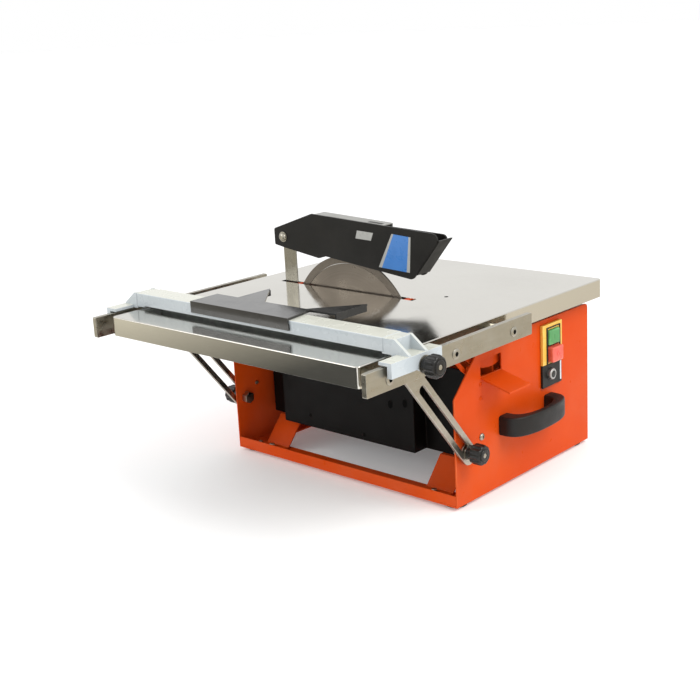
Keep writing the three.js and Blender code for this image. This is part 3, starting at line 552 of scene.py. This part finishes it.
def panel_hardware():
    """Screws on the outside of the panels, and the bolt heads that show inside the far one."""
    for word, side in SIDES:
        bm = new_bm()
        face = side * PANEL_FACE_X
        dome_head(bm, "x", Vector((face, -3 * MM, 76 * MM)), side, 4.4, 2.6)
        inner = face - side * 2 * MM
        hex_bolt(bm, "x", Vector((inner, -16 * MM, 84 * MM)), -side, 3.6, 1.8, 2.7)
        settle(f"panel_screws_{word}", bm, "base", ZINC)
        bm = new_bm()
        for z in (139, 122):
            dome_head(bm, "x", Vector((face, -2 * MM, z * MM)), side, 2.8, 1.2)
        settle(f"tongue_rivets_{word}", bm, "base", ORANGE)
    bm = new_bm()
    for x in (-136, 136):
        hex_bolt(bm, "z", Vector((x * MM, -36 * MM, 8.3 * MM)), 1, 7.0, 3.2, 5.5)
    dome_head(bm, "z", Vector((-168 * MM, -27 * MM, 6 * MM)), 1, 3.4, 1.8)
    settle("floor_screws", bm, "base", ZINC)
    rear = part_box("rear_panel")[1]
    bm = new_bm()
    for x in (-168, 168):
        for z in (26, 92, 158):
            dome_head(bm, "y", Vector((x * MM, rear.y, z * MM)), 1, 3.6, 1.8)
    settle("rear_screws", bm, "base", ZINC)


panel_hardware()


# ---- water tank ---------------------------------------------------------------------------------
def tank_detail(bm):
    """Two rivets and two oval vents on the front wall. Each vent opening is a near-black disc of painted
    shade.
    """
    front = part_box("water_tank")[0].y
    for x, z in ((-82, 56), (10, 48)):
        dome_head(bm, "y", Vector((x * MM, front, z * MM)), -1, 2.6, 1.3, 0.3)
    for x, z in ((56, 96), (79, 101)):
        centre = Vector((x * MM, front, z * MM))
        rim = [(0, 6.0), (0.25, 5.9), (0.45, 5.4), (0.2, 5.0), (0.2, 4.8)]
        turned(bm, "y", centre, rim, 40, -1, oval)
        turned(bm, "y", centre, [(0.1, 5.0), (0.26, 5.0), (0.26, 0.4)], 40, -1, oval, 1)


def oval(a, _):
    """Radius factor of an upright oval."""
    return 1.0 - 0.36 * math.cos(a) ** 2


def tank_corner(edge):
    direction = (edge.verts[0].co - edge.verts[1].co).normalized()
    return abs(direction.z) > 0.99 or max(v.co.z for v in edge.verts) < 41 * MM


tank_finishes = [TANK_BLACK_AND_SHADE, HOLE_SHADE]
refined("water_tank", tank_finishes, 0.7, 2, (tank_corner, 1.3, 3), tank_detail)


# ---- carrying handles ---------------------------------------------------------------------------
def carrying_handle(word, side):
    """A bow of rounded section between two feet, lofted from its outer and inner curves."""
    node = f"carry_handle_{word}"
    low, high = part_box(node)
    root = PANEL_FACE_X + 0.3 * MM
    reach = max(abs(low.x), abs(high.x)) - root
    middle = (low.y + high.y) / 2
    half = (high.y - low.y) / 2
    half_z = (high.z - low.z) / 2
    centre_z = (high.z + low.z) / 2
    bm = new_bm()
    rings = []
    steps = 44
    for i in range(steps + 1):
        u = i / steps
        across = -math.cos(math.pi * u)
        rise = math.sin(math.pi * u)
        sweep = math.copysign(abs(across) ** 0.85, across)
        outer = Vector((root + reach * rise**0.55, middle + half * sweep))
        inner_half = half - 19 * MM
        inner = Vector((root + (reach - 8.5 * MM) * rise**0.6, middle + inner_half * across))
        centre = (outer + inner) / 2
        arm = (outer - inner) / 2
        ring = []
        for k in range(28):
            a = 2 * math.pi * k / 28
            c, s = math.cos(a), math.sin(a)
            p = centre + arm * math.copysign(abs(c) ** 0.28, c)
            z = centre_z + half_z * math.copysign(abs(s) ** 0.26, s)
            ring.append(Vector((side * p.x, p.y, z)))
        rings.append(ring)
    loft(bm, rings)
    settle(f"{node}_fine", bm, "base", GRIP_BLACK, [node], 50.0)
    bm = new_bm()
    for y in (low.y + 10.5 * MM, high.y - 10.5 * MM):
        hex_bolt(bm, "x", Vector((side * (PANEL_FACE_X - 2 * MM), y, centre_z)), -side, 7.0, 3.0, 5.5)
    settle(f"handle_nuts_{word}", bm, "base", ZINC)


for word, side in SIDES:
    carrying_handle(word, side)


# ---- switch -------------------------------------------------------------------------------------
def switch_unit():
    low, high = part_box("switch_frame")
    refined("switch_frame", YELLOW, 0.7, 3)
    refined("switch_box", GRIP_BLACK, 0.5)
    plate_low, plate_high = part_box("switch_plate")

    def plate_strip(bm):
        block(
            bm,
            (plate_high.x - 0.2 * MM, plate_high.y - 4 * MM, plate_low.z + 3 * MM),
            (plate_high.x + 0.25 * MM, plate_high.y - 1.2 * MM, plate_high.z - 1.5 * MM),
            0.1 * MM,
            1,
            1,
        )

    refined("switch_plate", [GRIP_BLACK, LABEL_PALE], 0.5, 2, None, plate_strip)
    # Dark bezel round the two push buttons, standing a little proud of the yellow frame.
    bm = new_bm()
    green_low, green_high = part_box("button_green")
    red_low, red_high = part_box("button_red")
    face = high.x
    y0, y1 = green_low.y - 0.2 * MM, green_high.y + 0.2 * MM
    z0, z1 = red_low.z - 1.2 * MM, green_high.z + 1.2 * MM
    for a, b in (((y0 - 2.4 * MM, z0), (y0, z1)), ((y1, z0), (y1 + 2.0 * MM, z1))):
        block(bm, (face - 0.5 * MM, a[0], a[1]), (face + 1.1 * MM, b[0], b[1]), 0.5 * MM)
    for z in (z0 - 1.6 * MM, (red_high.z + green_low.z) / 2 - 0.1 * MM, z1):
        corner = (face + 1.1 * MM, y1 + 2.0 * MM, z + 1.5 * MM)
        block(bm, (face - 0.5 * MM, y0 - 2.4 * MM, z), corner, 0.5 * MM)
    settle("switch_bezel", bm, "base", GRIP_BLACK)


def push_button(node, finish, mark):
    """A square cap with rounded edges and a raised mark: a bar for on, a ring for off."""
    low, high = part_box(node)
    y0, y1 = low.y + 1.1 * MM, high.y - 1.1 * MM
    z0, z1 = low.z + 1.0 * MM, high.z - 1.0 * MM
    bm = new_bm()
    block(bm, (low.x, y0, z0), (high.x - 0.4 * MM, y1, z1), 1.9 * MM, 5)
    centre = Vector((high.x - 0.5 * MM, (y0 + y1) / 2, (z0 + z1) / 2))
    if mark == "bar":
        size = Vector((0.4, 0.7, 3.6)) * MM
        block(bm, centre - size, centre + size, 0.2 * MM, 2)
    else:
        turned(bm, "x", centre, [(0, 3.1), (0.35, 3.1), (0.35, 2.2), (-0.2, 2.2)], 40)
    block(bm, (low.x, low.y, low.z), (low.x + 3 * MM, high.y, high.z), 0.5 * MM)
    settle(f"{node}_fine", bm, node, finish, [node])


switch_unit()
push_button("button_green", GREEN, "bar")
push_button("button_red", RED, "ring")


def reset_button():
    low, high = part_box("button_reset")
    centre = (low + high) / 2
    origin = Vector((low.x, centre.y, centre.z))
    length = (high.x - low.x) / MM
    bm = new_bm()
    body = [(0, 8.8), (2.4, 9), (3, 8.6), (3, 6.8), (length - 1.2, 6.9), (length - 0.4, 6.5)]
    body += [(length, 5.7), (length, 4.4), (length - 1.8, 4.2), (length - 1.8, 0.4)]
    turned(bm, "x", origin, body, 48)
    settle("button_reset_fine", bm, "button_reset", ALLOY, ["button_reset"])
    bm = new_bm()
    core = [(0, 4.0), (2.2, 4.0), (2.7, 3.5), (2.9, 0.3)]
    turned(bm, "x", origin + Vector(((length - 3) * MM, 0, 0)), core, 36)
    settle("button_reset_core", bm, "button_reset", KNOB_BLACK)


reset_button()


# ---- cord gland ---------------------------------------------------------------------------------
def cord_gland():
    low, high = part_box("cord_gland")
    c = (low + high) / 2
    length = (high.y - low.y) / MM
    bm = new_bm()
    flange = length - 6.7
    profile = [(0, 6.6), (0.4, 7), (flange, 7), (flange, 9.6), (flange + 0.5, 10), (flange + 3.4, 10)]
    for i in range(3):
        t = flange + 3.6 + i * 1.0
        profile += [(t, 8.6 - i * 0.5), (t + 0.5, 8.6 - i * 0.5), (t + 0.5, 7.8 - i * 0.5)]
    profile += [(length, 5.2), (length, 3.6), (length - 5, 3.4)]
    turned(bm, "y", Vector((c.x, low.y, c.z)), profile, 48)
    settle("cord_gland_fine", bm, "base", GRIP_BLACK, ["cord_gland"])


cord_gland()


# ---- motor --------------------------------------------------------------------------------------
refined("motor_front_flange", ALLOY, 0.8)
refined("motor_body", MOTOR, 0.5)
refined("capacitor_box", GRIP_BLACK, 1.6, 3)


def fan_cover(bm):
    """Concentric grille rings on the end of the fan cover."""
    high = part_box("motor_fan_cover")[1]
    for r in (10, 18, 26, 34):
        ring = [(-0.4, r - 1.4), (0.9, r - 1.2), (0.9, r + 1.2), (-0.4, r + 1.4)]
        turned(bm, "y", Vector((HUB.x, high.y - 0.2 * MM, HUB.z)), ring, 56)


refined("motor_fan_cover", GRIP_BLACK, 1.0, 3, None, fan_cover)
refined("arbor_shaft", ZINC, 0.5)
refined("arbor_nut", ZINC, 0.8)
for node in ("inner_flange", "outer_flange"):
    refined(node, ZINC, 0.7)


# ---- blade --------------------------------------------------------------------------------------
def diamond_blade():
    radius = (BLADE_HIGH.x - BLADE_LOW.x) / 2 / MM
    half = (BLADE_HIGH.y - BLADE_LOW.y) / 2 / MM
    core = half - 0.3
    bore = 12.7
    sides = 180
    bm = new_bm()
    profile = [(-core, bore), (-core, radius - 10), (core, radius - 10), (core, bore)]
    u, v, w = axis_frame("y")

    def ring(t, r):
        turn = [2 * math.pi * k / sides for k in range(sides)]
        return [HUB + w * (t * MM) + (u * math.cos(a) + v * math.sin(a)) * (r * MM) for a in turn]

    loft(bm, [ring(t, r) for t, r in profile], closed=True)
    rim = [(-half, radius - 9.5), (-half, radius - 0.5), (-half + 0.4, radius), (half - 0.4, radius),
           (half, radius - 0.5), (half, radius - 9.5)]
    loft(bm, [ring(t, r) for t, r in rim], closed=True, index=1)
    settle("diamond_blade_fine", bm, "blade_unit", [BLADE, RIM], ["diamond_blade"])


diamond_blade()
refined("riving_knife", SATIN, 0.35)


# ---- guard --------------------------------------------------------------------------------------
GUARD_LOW, GUARD_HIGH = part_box("guard_shell")
refined("guard_shell", BLACK, 0.5, 3)


def guard_channel_detail(bm):
    """A short dark slot plate near the open end of the channel's top."""
    low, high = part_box("guard_channel")
    c = (low + high) / 2
    slope = 10 / 210
    part = new_bm()
    block(part, (-11 * MM, -2.6 * MM, -0.1 * MM), (11 * MM, 2.6 * MM, 0.35 * MM), 0.15 * MM, 1, 1)
    place = Matrix.Translation(Vector((12 * MM, c.y - 3 * MM, high.z - 4.76 * MM)))
    bmesh.ops.transform(part, matrix=place @ Matrix.Rotation(math.atan(slope), 4, "Y"), verts=part.verts)
    merge(bm, part)


refined("guard_channel", [GREY, BLACK], 0.4, 2, None, guard_channel_detail)


def guard_labels():
    """Plain stickers on both cheeks: a small grey plate and a blue field in a grey frame."""
    thick = 0.12 * MM
    for word, side in (("near", -1), ("far", 1)):
        face = GUARD_LOW.y if side < 0 else GUARD_HIGH.y
        drop = 0.0 if side < 0 else 3.0

        def sheet(bm, corners, index):
            near = [Vector((x * MM, face + side * 0.01 * MM, (z - drop) * MM)) for x, z in corners]
            out = [p + Vector((0, side * thick, 0)) for p in near]
            loft(bm, [near, out], index=index)

        bm = new_bm()
        sheet(bm, [(-13.5, 288.6), (11.5, 287.8), (15.5, 297.6), (-10.5, 298.6)], 1)
        low_left, low_right = (22.5, 256.5), (71.0, 254.2)
        top_left, top_right = (44.8, 298.9), (74.0, 297.1)

        def across(share):
            low = [low_left[i] + share * (low_right[i] - low_left[i]) for i in (0, 1)]
            top = [top_left[i] + share * (top_right[i] - top_left[i]) for i in (0, 1)]
            return low, top

        bands = [(0.0, 0.1, 1), (0.1, 0.9, 0), (0.9, 1.0, 1)]
        for start, end, index in bands:
            low_a, top_a = across(start)
            low_b, top_b = across(end)
            sheet(bm, [low_a, low_b, top_b, top_a], index)
        inks = [LABEL_BLUE, LABEL_GREY]
        settle(f"guard_label_{word}", bm, "guard", inks, weighted=False)


guard_labels()


def guard_bolt():
    """A through bolt with a round head on the near cheek and a lock nut behind."""
    low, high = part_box("guard_bolt")
    c = (low + high) / 2
    bm = new_bm()
    reach = (high.y - low.y) / MM
    turned(bm, "y", Vector((c.x, low.y, c.z)), [(1, 3), (reach - 1, 3)], 24)
    dome_head(bm, "y", Vector((c.x, GUARD_LOW.y - 1.0 * MM, c.z)), -1, 5.6, 3.4)
    turned(bm, "y", Vector((c.x, GUARD_LOW.y - 0.3 * MM, c.z)), [(0, 6.6), (0.7, 6.6), (0.8, 6.3)], 36, -1)
    lock_nut = [(0, 5.2), (3.4, 5.2), (4.4, 4.4)]
    turned(bm, "y", Vector((c.x, GUARD_HIGH.y + 0.3 * MM, c.z)), lock_nut, 48, 1, hexagon)
    settle("guard_bolt_fine", bm, "base", ZINC, ["guard_bolt"])


guard_bolt()


# ---- table --------------------------------------------------------------------------------------
def fold_edge(edge):
    """The table's four folds and its corner seams."""
    a, b = (v.co for v in edge.verts)

    def outside(p):
        return (
            abs(abs(p.x) - TABLE_HIGH.x) < 5.5 * MM
            or abs(p.y - TABLE_LOW.y) < 5.5 * MM
            or abs(p.y - TABLE_HIGH.y) < 5.5 * MM
        )

    return abs(a.z - TABLE_Z) < 0.1 * MM and abs(b.z - TABLE_Z) < 0.1 * MM and outside(a) and outside(b)


def table_mark(bm):
    """A small drainage dimple in the table behind the blade, drawn as a thin near-black disc of painted
    shade.
    """
    centre = Vector((89 * MM, 58 * MM, TABLE_Z - 0.25 * MM))
    turned(bm, "z", centre, [(0, 2.6), (0.3, 2.6), (0.34, 2.3), (0.34, 0.4)], 32, index=1)


refined("table_top", [BRIGHT, HOLE_SHADE], 0.35, 2, (fold_edge, 1.7, 4), table_mark)


def slot_liners():
    """Two orange liner tongues, just under the table surface at the ends of the blade slot."""
    bm = new_bm()
    for near, far in ((-88.2, -91.6), (88.2, 95.0)):
        x0, x1 = sorted((HUB.x + near * MM, HUB.x + far * MM))
        block(bm, (x0, 21.05 * MM, 215.4 * MM), (x1, 30.95 * MM, 217.5 * MM), 0.5 * MM)
    settle("slot_liners", bm, "table", ORANGE)


slot_liners()

for word, side in SIDES:
    refined(f"fence_rail_{word}", ZINC, 0.8, 3)
    refined(f"trunnion_{word}", ORANGE, 0.35)
    refined(f"stay_pin_{word}", ZINC, 0.35)
    refined(f"clamp_stud_{word}", ZINC, 0.35)
    refined(f"stay_{word}", ZINC, 0.6, 2)


def rail_bolt(node, side):
    """A low button head with a flush near-black hexagon of painted shade for its socket, shank, spacer and
    nut.
    """
    low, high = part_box(node)
    c = (low + high) / 2
    tip = max(abs(low.x), abs(high.x))
    root = min(abs(low.x), abs(high.x))
    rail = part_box(f"fence_rail_{'right' if side > 0 else 'left'}")
    rail_out = max(abs(rail[0].x), abs(rail[1].x))
    rail_in = min(abs(rail[0].x), abs(rail[1].x))
    bm = new_bm()
    head = Vector((side * (rail_out + 0.1 * MM), c.y, c.z))
    proud = (tip - rail_out) / MM - 0.1
    button = [(0, 5.9), (proud * 0.4, 5.7), (proud * 0.85, 4.6), (proud, 3.4), (proud, 2.6)]
    turned(bm, "x", head, button, 40, side)
    # Painted shade: the socket is a flush near-black hexagon, not a recess.
    socket = [(proud - 0.3, 2.5), (proud + 0.02, 2.5), (proud + 0.02, 0.4)]
    turned(bm, "x", head, socket, 30, side, hexagon, 1)
    turned(bm, "x", Vector((side * root, c.y, c.z)), [(0, 2.9), ((tip - root) / MM - 1.0, 2.9)], 24, side)
    spacer = Vector((side * (TABLE_HIGH.x + 0.3 * MM), c.y, c.z))
    gap = (rail_in - TABLE_HIGH.x) / MM - 0.6
    turned(bm, "x", spacer, [(0, 5.6), (0.4, 6), (gap - 0.4, 6), (gap, 5.6)], 36, side)
    nut = Vector((side * (TABLE_HIGH.x - 2.3 * MM), c.y, c.z))
    turned(bm, "x", nut, [(0, 4.9), (4.2, 4.9), (5.2, 4.2)], 48, -side, hexagon)
    settle(f"{node}_fine", bm, "table", [ZINC, HOLE_SHADE], [node])


for word, side in SIDES:
    for i in (1, 2, 3):
        rail_bolt(f"rail_bolt_{word}_{i}", side)


# ---- knobs --------------------------------------------------------------------------------------
def fluted(count, depth, start, end):
    """Radius factor of rounded flutes between two stations along a knob."""

    def shape(a, t):
        fade = min(1.0, max(0.0, (t - start) / 1.5), max(0.0, (end - t) / 1.5))
        return 1.0 - depth * fade * (0.5 - 0.5 * math.cos(count * a)) ** 1.6

    return shape


def knob(node, side, centre, x_start, length, r, screw):
    """A fluted hand knob: collar, fluted grip with rounded shoulders, sunk face and steel insert.
    screw is the (start, end, radius) of a threaded shank that shows, or None."""
    body = BODY_OF[node]
    origin = Vector((side * x_start, centre.y, centre.z))
    bm = new_bm()
    profile = [(0, r - 4.2), (0.3, r - 3.7), (5.2, r - 3.5), (5.9, r - 3.0), (6.4, r - 1.4)]
    profile += [(7.0, r - 0.5), (8.2, r)]
    # Shoulder, sunk face and hub: distance back from the knob's end, radius.
    ending = [(5, r), (3.2, r - 0.25), (2.0, r - 0.9), (1.2, r - 2.0), (0.9, r - 3.0), (1.3, r - 3.5)]
    ending += [(1.3, r - 4.6), (0.4, r - 5.0), (0, r - 5.6), (0, 3.4), (1.0, 3.1), (1.0, 0.3)]
    profile += [(length - back, radius) for back, radius in ending]
    turned(bm, "x", origin, profile, 120, side, fluted(10, 0.13, 6.0, length - 1.2))
    settle(f"{node}_fine", bm, body, KNOB_BLACK, [node], 50.0)
    bm = new_bm()
    insert = [(length - 1.2, 2.8), (length - 0.5, 2.8), (length - 0.2, 2.3), (length - 0.2, 0.2)]
    turned(bm, "x", origin, insert, 28, side)
    if screw:
        start, end, radius = screw
        turns = int((end - start) / 0.8)
        profile = [(start, radius - 0.6)]
        for i in range(turns):
            t = start + 0.8 * i
            profile += [(t + 0.2, radius - 0.45), (t + 0.6, radius)]
        profile += [(end, radius - 0.4)]
        turned(bm, "x", origin, profile, 30, side)
    washer = [(-0.15, 4.6), (-0.1, r - 2.6), (0.5, r - 2.6), (0.6, r - 3.0), (0.6, 4.6)]
    turned(bm, "x", origin, washer, 40, side)
    settle(f"{node}_metal", bm, body, ZINC)


for word, side in SIDES:
    low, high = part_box(f"clamp_knob_{word}")
    start = min(abs(low.x), abs(high.x))
    knob(f"clamp_knob_{word}", side, (low + high) / 2, start, (high.x - low.x) / MM, 12.0, None)
    low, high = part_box(f"fence_knob_{word}")
    inner, outer = sorted((abs(low.x), abs(high.x)))
    cheek = max(abs(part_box("fence")[0].x), abs(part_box("fence")[1].x))
    start = cheek + 0.6 * MM
    reach = (inner - start) / MM
    shank = (reach, 3.0, 4.0)
    knob(f"fence_knob_{word}", side, (low + high) / 2, start, (outer - start) / MM, 12.5, shank)


# ---- fence and mitre stop -----------------------------------------------------------------------
FENCE_LOW, FENCE_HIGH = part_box("fence")


def beam_edge(edge):
    """The long folds along the top of the fence."""
    a, b = (v.co for v in edge.verts)
    return abs(a.y - b.y) < 0.1 * MM and abs(a.x - b.x) > 40 * MM and min(a.z, b.z) > FENCE_HIGH.z - 5 * MM


refined("fence", BLUE_GREY, 0.7, 3, (beam_edge, 1.2, 3))
refined("mitre_stop", STOP_BLACK, 0.5, 3)


# ---- floor, light and camera --------------------------------------------------------------------
def floor():
    bm = bmesh.new()
    half = 30.0
    corners = [(-half, -half), (half, -half), (half, half), (-half, half)]
    bm.faces.new([bm.verts.new((x, y, 0.0)) for x, y in corners])
    mesh = bpy.data.meshes.new("studio_floor")
    bm.to_mesh(mesh)
    bm.free()
    white = {"Emission_Color": (1.0, 1.0, 1.0, 1), "Emission_Strength": 0.14}
    look = Look("studio_white", (0.9, 0.9, 0.9), 0.7, Specular_IOR_Level=0.2, **white)
    look.tint(look.spread(look.noise(3.0), 0.3, 0.7, 0.0, 0.3), (0.88, 0.88, 0.88))
    mesh.materials.append(look.material)
    made = bpy.data.objects.new("studio_floor", mesh)
    bpy.context.scene.collection.objects.link(made)


def mirror_card(name, low, high, colour, far_colour, ramp):
    """A card on the floor that only mirrors see. Its colour runs along x between two stations."""
    bm = bmesh.new()
    corners = [(low[0], low[1]), (high[0], low[1]), (high[0], high[1]), (low[0], high[1])]
    bm.faces.new([bm.verts.new((x, y, 0.002)) for x, y in corners])
    mesh = bpy.data.meshes.new(name)
    bm.to_mesh(mesh)
    bm.free()
    look = Look(f"{name}_paint", colour, 0.85, Specular_IOR_Level=0.1)
    across = look.add("ShaderNodeSeparateXYZ")
    look.feed(across, Vector=look.place)
    look.tint(look.spread(across.outputs["X"], ramp[0], ramp[1], 0.0, 1.0), far_colour)
    mesh.materials.append(look.material)
    made = bpy.data.objects.new(name, mesh)
    bpy.context.scene.collection.objects.link(made)
    made.visible_camera = False
    made.visible_diffuse = False
    made.visible_shadow = False


def area_light(name, place, target, size, power, colour):
    data = bpy.data.lights.new(name, "AREA")
    data.shape = "RECTANGLE"
    data.size, data.size_y = size
    data.energy = power
    data.color = colour
    made = bpy.data.objects.new(name, data)
    bpy.context.scene.collection.objects.link(made)
    made.location = place
    made.rotation_mode = "QUATERNION"
    made.rotation_quaternion = (Vector(target) - Vector(place)).to_track_quat("-Z", "Y")


def sky():
    world = bpy.data.worlds.new("studio_sky")
    world.use_nodes = True
    backdrop = world.node_tree.nodes["Background"]
    backdrop.inputs["Color"].default_value = (1.0, 1.0, 1.0, 1)
    backdrop.inputs["Strength"].default_value = 1.0
    bpy.context.scene.world = world


def camera():
    """A pinhole at the photograph's viewpoint: azimuth, elevation and roll in degrees, place and
    lens in millimetres, shift as a share of the sensor."""
    azimuth, elevation, roll = math.radians(41.96), math.radians(14.05), math.radians(-2.79)
    place = Vector((963.8, -1051.7, 551.0)) * MM
    sensor, lens, shift = 36.0, 61.632, (-0.030714, -0.048)
    level = Vector((math.sin(azimuth), -math.cos(azimuth), 0))
    back = level * math.cos(elevation) + Vector((0, 0, math.sin(elevation)))
    right = (-back).cross(Vector((0, 0, 1))).normalized()
    up = right.cross(-back)
    turned_right = right * math.cos(roll) + up * math.sin(roll)
    turned_up = up * math.cos(roll) - right * math.sin(roll)
    data = bpy.data.cameras.new("camera")
    data.sensor_width = sensor
    data.lens = lens
    data.shift_x, data.shift_y = shift
    data.clip_start, data.clip_end = 0.05, 50.0
    made = bpy.data.objects.new("camera", data)
    bpy.context.scene.collection.objects.link(made)
    facing = Matrix((turned_right, turned_up, back)).transposed()
    made.matrix_world = Matrix.Translation(place) @ facing.to_4x4()
    bpy.context.scene.camera = made


floor()
# Painted reflections: cards that only glossy rays see. In front they run from light cream to charcoal, and
# at the side from tan to sand, for the metal to mirror.
CREAM, CHARCOAL = (0.68, 0.64, 0.53), (0.05, 0.05, 0.046)
TAN, SAND = (0.6, 0.55, 0.46), (0.66, 0.62, 0.54)
mirror_card("front_card", (-2.2, -2.6), (0.5, -0.42), CREAM, CHARCOAL, (-0.95, -0.36))
mirror_card("side_card", (0.42, -0.38), (3.0, 3.0), TAN, SAND, (0.5, 1.2))
sky()
area_light("key", (1.6, 0.2, 1.7), (0.1, 0.0, 0.12), (1.2, 1.0), 26, (1.0, 0.985, 0.96))
area_light("fill", (-1.4, -1.9, 1.3), (0.0, 0.0, 0.12), (1.6, 1.2), 16, (0.97, 0.985, 1.0))
camera()
bpy.context.scene.view_settings.view_transform = "Standard"
